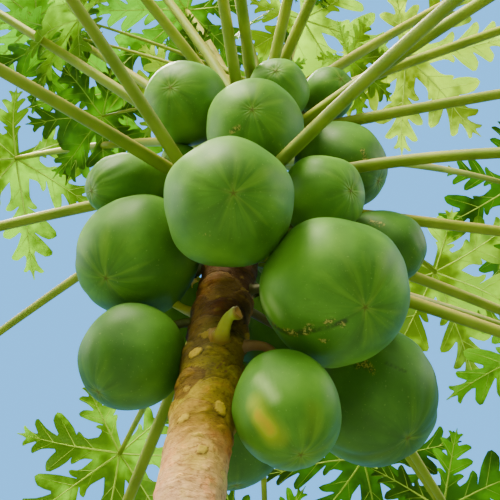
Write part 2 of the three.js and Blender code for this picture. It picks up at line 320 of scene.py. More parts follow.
def outward(way, rise=0):
    """Unit vector that points the given way round the trunk and rises by the given angle."""
    way, rise = math.radians(way), math.radians(rise)
    return np.array([math.cos(rise) * math.cos(way), math.cos(rise) * math.sin(way), math.sin(rise)])


def turned(vector, axis, angle):
    """The vector turned about the axis by degrees."""
    return np.array(Matrix.Rotation(math.radians(angle), 3, Vector(axis)) @ Vector(vector))


def trunk_middle(z):
    return np.array([LEAN_AT_GROUND * z + LEAN_GROWTH * z * z, 0, z])


def trunk_radius(z):
    """Radius of the plain trunk at a height, without the ribs of its root flare."""
    if z < NECK_HEIGHT:
        return mix(FOOT_RADIUS, NECK_RADIUS, z / NECK_HEIGHT) * (1 + FLARE * math.exp(-z / FLARE_FADE))
    if z < SHOULDER_HEIGHT:
        return mix(NECK_RADIUS, SHOULDER_RADIUS, (z - NECK_HEIGHT) / (SHOULDER_HEIGHT - NECK_HEIGHT))
    share = (z - SHOULDER_HEIGHT) / (TRUNK_HEIGHT - SHOULDER_HEIGHT)
    return mix(SHOULDER_RADIUS, TIP_RADIUS, share * share)


def square_out(way, z):
    """Direction square to the trunk's own line at a height, the given way round."""
    along = unit([LEAN_AT_GROUND + 2 * LEAN_GROWTH * z, 0, 1])
    out = outward(way)
    return unit(out - along * (out @ along))


def foot_on(square, z, foot_radius):
    """Middle of a stalk's foot that lies flat against the trunk, just clear of it."""
    reach = trunk_radius(z - foot_radius) * math.hypot(square[0], square[1]) + CLEARANCE
    return trunk_middle(z) + square * reach


def smooth_line(points, count):
    """That many points along the centripetal Catmull-Rom curve through the given points."""
    points = np.asarray(points, float)
    around = np.vstack([2 * points[0] - points[1], points, 2 * points[-1] - points[-2]])
    gaps = np.sqrt(np.linalg.norm(np.diff(around, axis=0), axis=1))
    line = []
    for place in np.linspace(0, len(points) - 1, count):
        k = min(int(place), len(points) - 2)
        t = place - k
        p0, p1, p2, p3 = around[k:k + 4]
        d0, d1, d2 = gaps[k:k + 3]
        start = ((p1 - p0) / d0 - (p2 - p0) / (d0 + d1) + (p2 - p1) / d1) * d1
        end = ((p2 - p1) / d1 - (p3 - p1) / (d1 + d2) + (p3 - p2) / d2) * d1
        line.append((2 * t**3 - 3 * t**2 + 1) * p1 + (t**3 - 2 * t**2 + t) * start
                    + (3 * t**2 - 2 * t**3) * p2 + (t**3 - t**2) * end)
    return np.array(line)


def bent_line(start, bend, end, count):
    """That many points along the quadratic Bezier curve."""
    t = np.linspace(0, 1, count)[:, None]
    return (1 - t)**2 * start + 2 * t * (1 - t) * bend + t**2 * end


def grid_faces(rings, sides):
    """Quads between rings of points that close on themselves, and a face over each end."""
    ring, side = np.meshgrid(np.arange(rings - 1), np.arange(sides), indexing="ij")
    near, far = ring * sides + side, ring * sides + (side + 1) % sides
    quads = np.stack([near, far, far + sides, near + sides], axis=-1).reshape(-1, 4).tolist()
    first = list(range(sides))[::-1]
    last = list(range((rings - 1) * sides, rings * sides))
    return [*quads, first, last]


def tube(line, radii, sides, across=None):
    """A closed stalk along a line. radii holds one radius for each point, or for each point and side."""
    line = np.asarray(line, float)
    along = np.gradient(line, axis=0)
    along /= np.linalg.norm(along, axis=1)[:, None]
    if across is None:
        across = np.cross(along[0], [0.3, 0.2, 1])
    angles = ring_ways(sides)
    rings = []
    for point, direction, radius in zip(line, along, radii):
        across = unit(across - direction * (across @ direction))
        square = np.cross(direction, across)
        ring = np.cos(angles)[:, None] * across + np.sin(angles)[:, None] * square
        rings.append(point + ring * (np.ones(sides) * radius)[:, None])
    return np.concatenate(rings), grid_faces(len(line), sides)


class Shape:
    """Points, faces and the material number of each face, gathered from several closed forms."""

    def __init__(self):
        self.points, self.faces, self.paints, self.count = [], [], [], 0

    def add(self, points, faces, paint=0):
        """paint is one material number for all the faces, or one for each."""
        self.points.append(points)
        self.faces += [[index + self.count for index in face] for face in faces]
        self.paints += [paint] * len(faces) if isinstance(paint, int) else paint
        self.count += len(points)


def add_object(name, data):
    made = bpy.data.objects.new(name, data)
    bpy.context.scene.collection.objects.link(made)
    return made


def add_piece(name, shape, materials, nodes, marks=None, place=None):
    """A piece of the tree that rides with it, in place of the nodes. place is its own frame, if any."""
    mesh = bpy.data.meshes.new(name)
    points = np.concatenate(shape.points) * MM
    mesh.from_pydata(points.tolist(), [], shape.faces)
    mesh.polygons.foreach_set("material_index", shape.paints)
    mesh.polygons.foreach_set("use_smooth", [True] * len(mesh.polygons))
    mesh.set_sharp_from_angle(angle=math.radians(60))
    for mark, values in (marks or {}).items():
        attribute = mesh.attributes.new(mark, "FLOAT", "POINT")
        attribute.data.foreach_set("value", np.asarray(values, np.float32).ravel())
    for material in materials:
        mesh.materials.append(material)
    made = add_object(name, mesh)
    if place is not None:
        made.matrix_world = place
    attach(made, "root")
    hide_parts(*nodes)


class Nodes:
    """A node tree, with short ways to add to it. Colours are red, green and blue."""

    def __init__(self, tree):
        self.tree = tree

    def node(self, kind, inputs, out=0, **settings):
        """Adds a node and gives one of its outputs. inputs maps a socket to a value or to another output."""
        made = self.tree.nodes.new(kind)
        for setting, value in settings.items():
            setattr(made, setting, value)
        for name, value in inputs.items():
            socket = made.inputs[name]
            if isinstance(value, bpy.types.NodeSocket):
                self.tree.links.new(value, socket)
            else:
                socket.default_value = (*value, 1) if socket.type == "RGBA" else value
        return made.outputs[out]

    def part(self, vector, axis):
        """One of the three numbers of a vector."""
        return self.node("ShaderNodeSeparateXYZ", {0: vector}, axis)

    def span(self, value, low, high, to_low=0.0, to_high=1.0):
        """The value's range from low to high, brought to another range and kept inside it."""
        return self.node("ShaderNodeMapRange", {0: value, 1: low, 2: high, 3: to_low, 4: to_high})

    def blend(self, factor, a, b, kind="MIX"):
        """Two colours mixed by a factor."""
        return self.node("ShaderNodeMix", {0: factor, 6: a, 7: b}, 2, data_type="RGBA", blend_type=kind)


class Paint(Nodes):
    """One procedural material. Its noise lies in the piece's own frame."""

    def __init__(self, name, **constants):
        self.material = bpy.data.materials.new(name)
        self.material.use_nodes = True
        super().__init__(self.material.node_tree)
        self.surface = self.tree.nodes["Principled BSDF"]
        for socket, value in constants.items():
            self.surface.inputs[socket.replace("_", " ")].default_value = value

    def link(self, **outputs):
        for socket, output in outputs.items():
            self.tree.links.new(output, self.surface.inputs[socket.replace("_", " ")])

    def mark(self, name):
        return self.node("ShaderNodeAttribute", {}, 2, attribute_name=name)

    def own(self):
        """Coordinates in the piece's own frame."""
        return self.node("ShaderNodeTexCoord", {}, 3)

    def stretched(self, x, y, z):
        return self.node("ShaderNodeMapping", {0: self.own(), 3: (x, y, z)})

    def speckle(self, scale, detail=3, where=None, rough=0.5):
        """Noise from 0 to 1, most of it near the middle."""
        inputs = {"Vector": where or self.own(), "Scale": scale, "Detail": detail, "Roughness": rough}
        return self.node("ShaderNodeTexNoise", inputs)

    def clouds(self, scale, detail=3, low=0.0, high=1.0):
        """Noise that fills the range from low to high."""
        return self.span(self.speckle(scale, detail), 0.3, 0.7, low, high)

    def maths(self, operation, a, b=0.0):
        return self.node("ShaderNodeMath", {0: a, 1: b}, operation=operation)

    def sum(self, a, b):
        return self.maths("ADD", a, b)

    def times(self, a, b):
        return self.maths("MULTIPLY", a, b)

    def layers(self, base, rows, multiply=False):
        """The base colour under layers that cover or multiply it.

        A row has a value or a mark's name, where the layer starts and is full, its cover and its colour."""
        for value, start, full, cover, tint in rows:
            if isinstance(value, str):
                value = self.mark(value)
            over = self.blend(1.0, base, tint, "MULTIPLY") if multiply else tint
            base = self.blend(self.span(value, start, full, 0, cover), base, over)
        return base

    def ramp(self, value, low, high, stops):
        """Colours by value. stops maps places between its low and high, from 0 to 1, to colours."""
        made = self.tree.nodes.new("ShaderNodeValToRGB")
        self.tree.links.new(self.span(value, low, high), made.inputs[0])
        while len(made.color_ramp.elements) < len(stops):
            made.color_ramp.elements.new(0.5)
        for element, (place, tint) in zip(made.color_ramp.elements, stops.items()):
            element.position, element.color = place, (*tint, 1)
        return made.outputs[0]

    def bump(self, height, strength, distance):
        return self.node("ShaderNodeBump", {"Height": height, "Strength": strength, "Distance": distance})


# Camera, floor and light

camera = add_object("camera", bpy.data.cameras.new("camera"))
camera.data.sensor_width = CAMERA_SENSOR
camera.data.lens = CAMERA_LENS
camera.location = [value * MM for value in CAMERA_PLACE]
camera.rotation_euler = (math.radians(90 + CAMERA_RISE), 0, 0)
bpy.context.scene.camera = camera


def add_floor():
    corners = [(x * FLOOR_REACH, y * FLOOR_REACH, 0) for x, y in ((-1, -1), (1, -1), (1, 1), (-1, 1))]
    mesh = bpy.data.meshes.new("floor")
    mesh.from_pydata(corners, [], [(0, 1, 2, 3)])
    paint = Paint("floor", Roughness=0.9)
    paint.link(Base_Color=paint.blend(paint.speckle(3, 2), (0.21, 0.25, 0.20), (0.25, 0.28, 0.23)))
    mesh.materials.append(paint.material)
    floor = add_object("floor", mesh)


def add_lamp(name, place, aim_height, size, power, tint):
    lamp = bpy.data.lights.new(name, "AREA")
    lamp.shape = "DISK"
    lamp.size = size
    lamp.energy = power
    lamp.color = tint
    made = add_object(name, lamp)
    made.location = place
    made.rotation_euler = (Vector((AIM_X, 0, aim_height)) - Vector(place)).to_track_quat("-Z", "Y").to_euler()


def add_sky(ahead, behind):
    """Light from all round, in one colour ahead of the tree and another behind it."""
    world = bpy.data.worlds.new("sky")
    world.use_nodes = True
    sky = Nodes(world.node_tree)
    depth = sky.part(sky.node("ShaderNodeTexCoord", {}), 1)
    tint = sky.blend(sky.span(depth, -0.1, 0.4), ahead, behind)
    sky.tree.links.new(tint, sky.tree.nodes["Background"].inputs[0])
    bpy.context.scene.world = world


add_floor()
for lamp_name, lamp_row in LAMPS.items():
    add_lamp(lamp_name, *lamp_row)
add_sky(SKY_AHEAD, SKY_BEHIND)


# Trunk


def trunk_levels():
    low = np.arange(0, FINE_FROM, COARSE_STEP)
    fine = np.arange(FINE_FROM, FINE_TO, FINE_STEP)
    high = np.linspace(FINE_TO, TRUNK_HEIGHT, 24)
    return np.concatenate([low, fine, high])


def somewhere(number, way_use, height_use, low, high=3000):
    """Way round and height of a spot on the bark, between two heights."""
    return 360 * vary(number, way_use), mix(low, high, vary(number, height_use) + 0.5)


class Bark:
    """How far the bark stands out at each way round and level, and how strong its marks are there."""

    def __init__(self, ways, levels):
        self.ways, self.levels = ways, levels
        self.radii = np.array([trunk_radius(z) for z in levels])
        shape = (len(levels), len(ways))
        self.scales, self.relief = np.zeros(shape), np.zeros(shape)
        self.marks = {name: np.zeros(shape) for name in ("rim", "groove", "disc", "tone", "pit")}
        self.drift = np.zeros((*shape, 3))
        for row, z in enumerate(levels):
            for side, way in enumerate(ways):
                x, y = 2.2 * math.cos(way), 2.2 * math.sin(way)
                self.drift[row, side] = noise.noise_vector(Vector((x, y, z / 24)))
                self.relief[row, side] = 0.4 * noise.noise(Vector((x, y, z / 5.5)))
        self.relief += self.drift[..., 2]

    def near(self, way, height, reach):
        """Rows round a spot, and how far their points lie across and up from it."""
        rows = slice(*np.searchsorted(self.levels, (height - reach, height + reach)))
        away = (self.ways[None, :] - math.radians(way) + np.pi) % (2 * np.pi) - np.pi
        drift = SCAR_DRIFT * self.drift[rows]
        across = away * self.radii[rows, None] + drift[..., 0]
        return rows, across, (self.levels[rows] - height)[:, None] + drift[..., 1]

    def raise_mark(self, name, rows, values):
        self.marks[name][rows] = np.maximum(self.marks[name][rows], values)

    def leaf_scar(self, number, way, height):
        """An arched shield on a swollen cushion. Where shields meet, the higher one lies on top."""
        fresh = mix(0.25, 1, smooth(height, 2100, 2400))
        strength = fresh * (0.75 + 0.6 * vary(number, 18))
        width = SCAR_WIDTH * (1 + 0.4 * vary(number, 13))
        rise = SCAR_RISE * (1 + 0.4 * vary(number, 14)) * mix(0.75, 1, fresh)
        rows, across, up = self.near(way, height, 60)
        arch = 1 - (across / width)**2
        inside = np.minimum(rise * arch - up, up + 0.5 * rise * arch)
        edge = smooth(arch, -0.25, 0.2)
        rim = bell(inside, 1.5) * edge
        groove = bell(inside + 2.4, 1.5) * edge * smooth(up, -4, 2)
        cushion = bell(across, width) * bell(np.where(up < 0, up / 24, up / 11), 1)
        form = strength * (CUSHION_RISE * cushion + SHIELD_RISE * smooth(inside, -1.5, 1.5) + RIM_RISE * rim)
        on_top = form > np.maximum(self.scales[rows], 0.35 * strength)
        self.marks["tone"][rows] = np.where(on_top, strength * vary(number, 19), self.marks["tone"][rows])
        self.marks["rim"][rows] = np.where(on_top, rim * strength, self.marks["rim"][rows])
        self.scales[rows] = np.maximum(self.scales[rows], form)
        self.raise_mark("groove", rows, groove * strength)

    def fruit_scar(self, way, height, width, tall, strength):
        """The pale oval that a fallen fruit left, with a raised edge."""
        rows, across, up = self.near(way, height, 30)
        disc = 1 - np.hypot(across / width, up / tall)
        self.relief[rows] += strength * (1.8 * smooth(disc, -0.1, 0.12) - 0.7 * smooth(disc, 0.15, 0.5))
        self.raise_mark("disc", rows, strength * smooth(disc, -0.06, 0.08))
        self.raise_mark("groove", rows, 0.8 * strength * bell(disc + 0.16, 0.1))

    def lip(self, way, height, width):
        """A narrow raised lip with a shadow under it. Its ridge gets the rim mark, which paints a highlight
        on it.
        """
        rows, across, up = self.near(way, height, 20)
        ridge = np.exp(-(across / width)**2 - (up / 2.4)**2)
        self.relief[rows] += 1.7 * ridge - 0.9 * np.exp(-(across / width)**2 - ((up + 4) / 2)**2)
        self.raise_mark("rim", rows, ridge)

    def lump(self, way, height, wide, tall, rise):
        rows, across, up = self.near(way, height, 14)
        form = np.exp(-(across / wide)**2 - (up / tall)**2)
        self.relief[rows] += rise * form
        return rows, form

    def grow(self):
        """All of the bark's forms."""
        self.grow_leaf_scars()
        self.relief += self.scales - GROOVE_DEPTH * self.marks["groove"]
        for scar in FRUIT_SCARS:
            self.fruit_scar(*scar, 1)
        for number in range(LIP_COUNT):
            self.lip(*somewhere(number, 51, 52, 150, 2950), 5 + 3 * vary(number, 53))
        for lip in LIPS:
            self.lip(*lip)
        self.grow_lumps()

    def grow_leaf_scars(self):
        """Leaf scars on a spiral, from the foot up. Here and there a fruit left its scar too."""
        height, number = SCAR_FROM, 0
        while height < SCAR_TO:
            way = number * SPIRAL_TURN + 14 * vary(number, 11)
            self.leaf_scar(number, way, height + 5 * vary(number, 12))
            if vary(number, 15) < -0.3:
                self.fruit_scar(number * 47, height, 7 + 2 * vary(number, 16), 6 + 2 * vary(number, 17), 0.5)
            height += mix(SCAR_STEP_LOW, SCAR_STEP_HIGH, smooth(height, 1700, 2500))
            number += 1

    def grow_lumps(self):
        """Small warts, pale nodules, and raised rings with a pit in each."""
        for number in range(WARTS):
            wide, tall = 3.2 + 2.4 * vary(number, 23), 2 + 1.2 * vary(number, 24)
            self.lump(*somewhere(number, 22, 21, 60), wide, tall, 0.9 + 0.9 * vary(number, 25))
        for number in range(NODULES):
            spot = somewhere(number, 26, 27, 1200)
            rows, form = self.lump(*spot, 4 + 2 * vary(number, 28), 3, 2 + vary(number, 29))
            self.raise_mark("disc", rows, 0.45 * form)
        for number in range(PITS):
            way, height = PITS_WAY + 20 * vary(number, 55), PITS_HEIGHT + 16 * vary(number, 56)
            self.lump(way, height, 3.4, 3.2, 1.5)
            rows, form = self.lump(way, height, 1.7, 1.6, -2.2)
            self.raise_mark("pit", rows, form)


def add_trunk(material):
    ways, levels = ring_ways(TRUNK_SIDES), trunk_levels()
    bark = Bark(ways, levels)
    bark.grow()
    rings = []
    for z, out in zip(levels, bark.relief):
        swell = 1 + RIB_DEPTH * math.exp(-z / FLARE_FADE) * np.cos(FLARE_RIBS * ways)
        fade = min(1, (TRUNK_HEIGHT - z) / 30)
        radius = trunk_radius(z) * swell + out * fade
        ring = np.stack([np.cos(ways) * radius, np.sin(ways) * radius, np.zeros(TRUNK_SIDES)], axis=1)
        rings.append(ring + trunk_middle(z))
    shape = Shape()
    shape.add(np.concatenate(rings), grid_faces(len(levels), TRUNK_SIDES))
    add_piece("trunk_bark", shape, [material], ["trunk"], bark.marks)


def bark_paint():
    paint = Paint("bark", Roughness=0.75, Specular_IOR_Level=0.15)
    height = paint.sum(paint.part(paint.own(), 2), paint.clouds(11, 4, -0.06, 0.06))
    # Colour by height: pinkish tan low down, ochre higher, dark brown among the fruits (about 2.3 to 2.5 m),
    # green at the tip. The dark brown is partly the bark's own colour and partly painted shade from the
    # fruits over it
    base = paint.ramp(height, 0, 3.1, {
        0.0: (0.24, 0.17, 0.11),
        0.35: (0.38, 0.26, 0.17),
        0.69: (0.74, 0.42, 0.24),
        0.711: (0.68, 0.39, 0.13),
        0.729: (0.39, 0.24, 0.016),
        0.744: (0.20, 0.14, 0.005),
        0.764: (0.085, 0.057, 0.004),
        0.785: (0.17, 0.085, 0.013),
        0.80: (0.12, 0.060, 0.010),
        0.95: (0.13, 0.12, 0.025),
        1.0: (0.2, 0.3, 0.06),
    })
    rusty = paint.speckle(21, rough=0.6)
    grain = paint.speckle(70, 5, rough=0.7)
    specks = paint.speckle(130, 2)
    wrinkles = paint.speckle(1, 4, paint.stretched(60, 60, 170), 0.6)
    threads = paint.maths("SUBTRACT", paint.speckle(1, 3, paint.stretched(30, 30, 110), 0.6), 0.5)
    threads = paint.span(paint.maths("ABSOLUTE", threads), 0, 0.022, 1, 0)
    base = paint.layers(base, [
        ("tone", 0, 0.4, 0.9, (0.56, 0.42, 0.34)),
        ("tone", 0, -0.4, 0.9, (1.35, 1.5, 0.8)),
        (rusty, 0.54, 0.66, 0.7, (1.25, 0.78, 0.55)),
        (rusty, 0.44, 0.32, 0.6, (1.0, 1.25, 0.6)),
        (grain, 0.3, 0.7, 0.9, (0.60, 0.52, 0.44)),
        (wrinkles, 0.56, 0.68, 0.6, (0.46, 0.38, 0.32)),
        (wrinkles, 0.44, 0.32, 0.5, (1.25, 1.25, 1.2)),
        (threads, 0, 1, 0.6, (0.50, 0.36, 0.26)),
        (specks, 0.62, 0.72, 0.6, (0.50, 0.38, 0.28)),
        (specks, 0.38, 0.28, 0.6, (1.35, 1.35, 1.3)),
        # painted shade: the grooves under leaf scars and round fruit scars are darkened
        ("groove", 0.1, 0.8, 0.9, (0.24, 0.18, 0.12)),
        # lighter rims: on leaf scars partly a paler edge and partly a painted highlight, on the ridges of
        # lips a painted highlight
        ("rim", 0.25, 1, 0.8, (1.9, 1.9, 1.6)),
    ], multiply=True)
    disc = paint.times(paint.mark("disc"), paint.span(paint.speckle(420, 1), 0.4, 0.6, 0.75, 1))
    base = paint.layers(base, [
        (disc, 0.1, 0.9, 0.8, (0.50, 0.33, 0.030)),
        ("pit", 0.2, 0.7, 0.85, (0.09, 0.035, 0.01)),
    ])
    rough = paint.sum(paint.times(grain, 0.6), paint.times(wrinkles, 0.4))
    rough = paint.maths("SUBTRACT", rough, paint.times(threads, 0.12))
    paint.link(Base_Color=base, Normal=paint.bump(rough, 0.8, 0.004))
    return paint.material


# Fruits


def fruit_frame(way, height, reach, droop, turn, roll):
    """Middle of a fruit, and the three directions of its own frame, with the last towards its tip."""
    axis = outward(way + turn, -droop)
    across = turned(unit(np.cross(axis, [0, 0, 1])), axis, roll)
    return trunk_middle(height) + outward(way) * reach, np.array([across, np.cross(axis, across), axis])


def fruit_form(number, half_width, half_length, pear):
    """Rings of points of one fruit in its own frame, the points of a ring, and marks on them."""
    sides = round(2 * np.pi * half_width / FRUIT_STEP)
    spread = np.linspace(0, 1, round(1.05 * np.pi * half_length / FRUIT_STEP))
    turn = spread - 0.13 * np.sin(2 * np.pi * spread) / (2 * np.pi) + 0.02 * np.sin(np.pi * spread)
    turn, ways = np.meshgrid(np.clip(turn, 0.004, 0.997) * np.pi, ring_ways(sides), indexing="ij")
    along = -np.cos(turn)
    tip = smooth(along, -0.1, 1)
    bent = ways + 0.22 * np.sin(2 * ways + 5 * number) + 0.25 * np.sin(3 * along + number)
    crease = (0.5 + 0.5 * np.cos(CREASES * bent))**5
    between = (0.5 - 0.5 * np.cos(CREASES * bent))**12
    fold = FOLDS.get(number + 1, 1) * (CREASE_DEPTH + CREASE_CHANGE * vary(number, 33))
    across = np.sin(turn)**0.94 * (1 + pear * along)
    across = across * (1 - (fold * crease + 0.35 * fold * between) * tip)
    across = across * (1 + 0.019 * np.cos(CREASES * ways + 0.6) * bell(along, 0.9))
    across = across * (1 + FRUIT_LUMPS * fruit_lumps(number, ways, across, along))
    x, y, z = np.cos(ways) * across * half_width, np.sin(ways) * across * half_width, along * half_length
    off_axis = np.hypot(x, y)
    star = 1 + 0.45 * np.cos(CREASES * ways)
    front = along > 0
    pucker = np.cos(3 * CREASES * ways + number) * bell(off_axis - 9, 6)
    z = z - (3.0 * bell(off_axis, 11) - 1.4 * bell(off_axis, 3.4 * star)) * front
    z = z + 0.2 * pucker * front + 7 * bell(off_axis, 15) * ~front
    marks = {
        "star": bell(off_axis, 4.2 * star) * front,
        "halo": bell(off_axis, 11 * star) * front,
        "tip": tip,
        "crease": crease * tip,
    }
    return np.stack([x, y, z], axis=-1).reshape(-1, 3), sides, marks


def fruit_lumps(number, ways, across, along):
    """How far a fruit swells at each of its points."""
    swell = np.zeros_like(across)
    for index in np.ndindex(across.shape):
        way, wide = ways[index], across[index]
        place = Vector((math.cos(way) * wide, math.sin(way) * wide, along[index]))
        place += Vector((number * 7.3, 0, 0))
        swell[index] = noise.noise(place * 1.1) + 0.3 * noise.noise(place * 2.9)
    return swell


def mark_on(directions, start, end, width):
    """How strongly a mark along the arc between two directions covers each of the given directions."""
    start, end = outward(*start), outward(*end)
    span = end - start
    share = np.clip((directions - start) @ span / (span @ span), 0, 1)
    gap = np.linalg.norm(directions - (start + share[:, None] * span), axis=1)
    return 1 - smooth(np.degrees(gap), 0, width)


def add_fruit(number, row, material):
    way, height, reach, half_width, half_length, droop, turn, pear = row
    middle, own = fruit_frame(way, height, reach, droop, turn, 72 * vary(number, 31))
    points, sides, marks = fruit_form(number, half_width, half_length, pear)
    directions = points @ own
    directions /= np.linalg.norm(directions, axis=1)[:, None]
    marks |= {kind: np.zeros(len(points)) for kind in MARK_KINDS}
    for marked, kind, start, end, width, strength in FRUIT_MARKS:
        if marked == number + 1:
            marks[kind] = np.maximum(marks[kind], strength * mark_on(directions, start, end, width))
    marks["painted_shade"] = np.full(len(points), PAINTED_FRUIT_SHADE.get(number + 1, 0))
    shape = Shape()
    shape.add(points, grid_faces(len(points) // sides, sides))
    place = Matrix.Translation(Vector(middle * MM)) @ Matrix(own.T.tolist()).to_4x4()
    name = node_name("fruit", number)
    add_piece(f"{name}_skin", shape, [material], [name], marks, place)


def fruit_stalk_line(number, row):
    way, height, reach, _, half_length, droop, turn, _ = row
    middle, own = fruit_frame(way, height, reach, droop, turn, 0)
    end = middle - own[2] * FRUIT_STALK_END * half_length
    higher = HIGH_STALKS.get(number + 1, 0)
    foot_height = end[2] + FRUIT_STALK_RISE + higher
    away = end - trunk_middle(foot_height)
    square = square_out(math.degrees(math.atan2(away[1], away[0])), foot_height)
    foot = foot_on(square, foot_height, FRUIT_STALK_RADIUS)
    return bent_line(foot, foot + square * (FRUIT_STALK_RADIUS + 0.9 * higher), end, 18)


def add_fruit_stalks(material):
    shape, browns = Shape(), []
    sides = 12
    for number, row in enumerate(FRUITS):
        line = fruit_stalk_line(number, row)
        share = np.linspace(0, 1, len(line))[:, None]
        form = 0.76 + 0.5 * np.exp(-share / 0.1) + 0.4 * smooth(share, 0.6, 1)
        form = form + 0.06 * np.cos(3 * ring_ways(sides) + number + 6 * share)
        shape.add(*tube(line, FRUIT_STALK_RADIUS * form, sides))
        brown = np.ones_like(share) if number + 1 in HIGH_STALKS else 0.3 * np.exp(-share / 0.2)
        browns.append(np.repeat(brown, sides))
    nodes = [node_name("fruit", number) for number in range(len(FRUITS))]
    add_piece("fruit_stalks", shape, [material], nodes, {"blush": np.concatenate(browns)})


def spokes(paint):
    """Coordinates that draw noise out along a fruit, from its stalk to its tip."""
    flat = paint.node("ShaderNodeVectorMath", {0: paint.own(), 1: (1, 1, 0)}, operation="MULTIPLY")
    spoke = paint.node("ShaderNodeVectorMath", {0: flat}, operation="NORMALIZE")
    lift = paint.node("ShaderNodeCombineXYZ", {2: paint.times(paint.part(paint.own(), 2), 6.5)})
    return paint.node("ShaderNodeVectorMath", {0: spoke, 1: lift}, operation="ADD")


def fruit_paint():
    paint = Paint("fruit_skin", Roughness=0.54, Specular_IOR_Level=0.2)
    spoke = spokes(paint)
    wide = paint.times(paint.speckle(2.6, 3, spoke), paint.mark("tip"))
    fine = paint.times(paint.speckle(9, 3, spoke, 0.6), paint.mark("tip"))
    soft = paint.speckle(15, 4)
    grain = paint.speckle(300, 2)
    worn = paint.speckle(260, 3, rough=0.7)
    scuff = paint.mark("scuff")
    # painted highlight: the sheen marks, lightened in cloudy patches
    pale = paint.times(paint.mark("painted_sheen"), paint.span(soft, 0.2, 0.6))
    ripe = paint.times(paint.mark("ripe"), paint.clouds(26, 3, 0.6, 1.2))
    dark = paint.maths("MAXIMUM", paint.times(scuff, 0.7), paint.mark("line"))
    dark = paint.times(dark, paint.span(worn, 0.3, 0.5, 0.5, 1.2))
    flecks = paint.times(scuff, paint.span(worn, 0.48, 0.6))
    base = paint.ramp(soft, 0.3, 0.7, {
        0.0: (0.042, 0.126, 0.005),
        0.5: (0.068, 0.182, 0.009),
        1.0: (0.108, 0.255, 0.014),
    })
    base = paint.layers(base, [
        (wide, 0.46, 0.66, 0.34, (0.185, 0.33, 0.012)),
        (fine, 0.50, 0.68, 0.28, (0.035, 0.095, 0.002)),
        # painted shade: darker along the creases
        ("crease", 0.2, 1, 0.35, (0.035, 0.090, 0.003)),
    ])
    # painted shade: the listed fruits darkened all over
    base = paint.layers(base, [("painted_shade", 0, 1, 1, (0.58, 0.64, 0.75))], multiply=True)
    base = paint.layers(base, [
        (grain, 0.66, 0.76, 0.25, (0.30, 0.40, 0.08)),
        (pale, 0, 1, 0.7, (0.42, 0.52, 0.20)),
        (ripe, 0.03, 0.5, 1, (0.30, 0.35, 0.001)),
        (ripe, 0.45, 1, 1, (0.64, 0.31, 0.0)),
        (dark, 0.2, 0.8, 0.8, (0.022, 0.035, 0.004)),
        (flecks, 0.1, 0.5, 0.8, (0.38, 0.32, 0.06)),
        ("halo", 0.2, 0.9, 0.3, (0.22, 0.30, 0.035)),
        ("star", 0.35, 0.9, 0.8, (0.085, 0.070, 0.010)),
    ])
    dull = paint.span(paint.sum(paint.mark("star"), flecks), 0, 1, 0.54, 0.8)
    height = paint.sum(paint.times(grain, 0.5), paint.maths("SUBTRACT", flecks, dark))
    paint.link(Base_Color=base, Roughness=dull, Normal=paint.bump(height, 0.14, 0.0012))
    return paint.material


def stalk_paint(name, low, high, blush):
    """A green stalk, clouded and dotted, with a blush where the mark says so."""
    paint = Paint(name, Roughness=0.58, Specular_IOR_Level=0.22)
    tinge = paint.times(paint.mark("blush"), paint.clouds(30, 3, 0.6, 1.2))
    dots = paint.speckle(240, 2)
    base = paint.layers(paint.blend(paint.clouds(16), low, high), [
        (tinge, 0, 1, 0.85, blush),
        (dots, 0.63, 0.72, 0.4, (0.20, 0.15, 0.05)),
    ])
    paint.link(Base_Color=base, Normal=paint.bump(dots, 0.2, 0.0008))
    return paint.material


# Leaves


def leaf_line(row, foot_radius, count):
    """Line of a leaf's stalk: square out of the trunk, then the given way, sagging more and more."""
    way, height, rise, sag, length, _ = row
    square = square_out(way, height)
    foot = foot_on(square, height, foot_radius)
    line = [foot, foot + square * foot_radius]
    for step in range(STALK_STEPS):
        bend = sag * (step + 0.5) / STALK_STEPS
        line.append(line[-1] + outward(way, rise - bend) * length / STALK_STEPS)
    return smooth_line(line, count)


def blade_outline(number):
    """Outline of a blade of radius 1 in its own plane, its +X along the middle lobe, and its veins.

    Each vein is (start, end, thickness), the first of each lobe being its rib."""
    outline, veins = [np.array([-REAR_SINUS, 0.0])], []
    for lobe, (angle, share) in enumerate(LOBES):
        lobe_share = share * (1 + 0.08 * vary(number * 7 + lobe, 41))
        angle = math.radians(angle + 5 * vary(number * 7 + lobe, 42))
        ahead = np.array([math.cos(angle), math.sin(angle)]) * lobe_share
        left = np.array([-ahead[1], ahead[0]])
        veins.append((np.zeros(2), ahead, 1.0))
        sides = []
        for side in (-1, 1):
            edge = []
            for k, (along, across) in enumerate(LOBULES):
                item = (number * 7 + lobe) * 8 + 2 * k + (side > 0)
                along, across = along + 0.03 * vary(item, 43), across * (1 + 0.4 * vary(item, 44))
                edge += [ahead * (along + back * across) + left * side * out * across
                         for back, out in LOBULE_EDGE]
                start = max(0.2, along - VEIN_LEAN - 0.25 * across)
                veins.append((ahead * start, ahead * along + left * side * across * 0.94, 0.36))
            sides.append(edge)
        hollows = [outline[-1]]
        if lobe + 1 < len(LOBES):
            between = math.radians((LOBES[lobe][0] + LOBES[lobe + 1][0]) / 2)
            hollows.append(np.array([math.cos(between), math.sin(between)]) * SINUS)
        else:
            hollows.append(outline[0])
        lobe_line = smooth_line([hollows[0], *sides[0], ahead, *reversed(sides[1]), hollows[1]], EDGE_POINTS)
        outline += list(lobe_line[1:])
    return outline[:-1], veins


